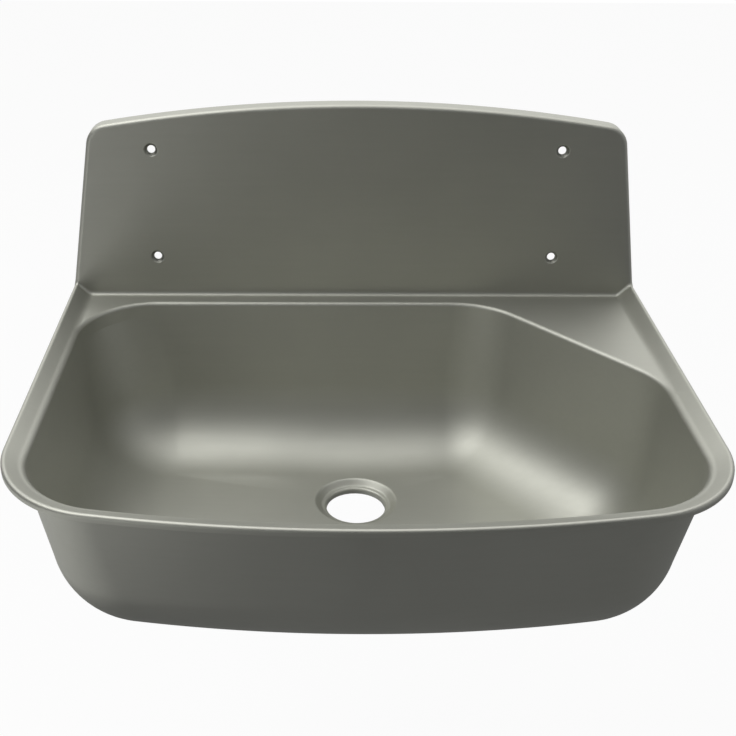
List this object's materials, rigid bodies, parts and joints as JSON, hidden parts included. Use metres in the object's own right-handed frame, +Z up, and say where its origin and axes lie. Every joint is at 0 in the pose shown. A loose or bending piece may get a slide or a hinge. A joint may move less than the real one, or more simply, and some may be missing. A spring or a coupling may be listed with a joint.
{
  "type": "mop service sink",
  "caption": "Wall-hung mop service sink in stainless sheet: a drawn bowl with one cut-off back corner, a dished rim and ledge, and a splashback screwed to the wall.",
  "frame": {"origin": "at the middle of the rectangle of the wall screws, on the floors of their dimples, where the screw heads seat; the wall is 13 mm behind it", "axes": "+X to the right as the sink is used, +Y towards the wall, +Z up"},
  "size_m": [0.52, 0.399, 0.3277],
  "materials": {
    "satin_steel": "satin, fine bead-blasted",
    "plain_steel": "mill finish",
    "nylon": "matte",
    "damping": "matte",
    "zinc": "zinc-plated"
  },
  "bodies": {
    "root": {"bowl": "satin_steel", "deck_rim": "satin_steel", "splashback": "satin_steel", "head_channel": "plain_steel", "foot_channel": "plain_steel", "spacer_1": "nylon", "spacer_2": "nylon", "spacer_3": "nylon", "spacer_4": "nylon", "wall_angle": "plain_steel", "side_bracket_left": "plain_steel", "side_bracket_right": "plain_steel", "heel_stay": "plain_steel", "damping_pad": "damping", "earth_tag": "satin_steel", "earth_bolt": "zinc", "earth_washer_front": "zinc", "earth_washer_back": "zinc", "earth_nut": "zinc"}
  },
  "joints": []
}
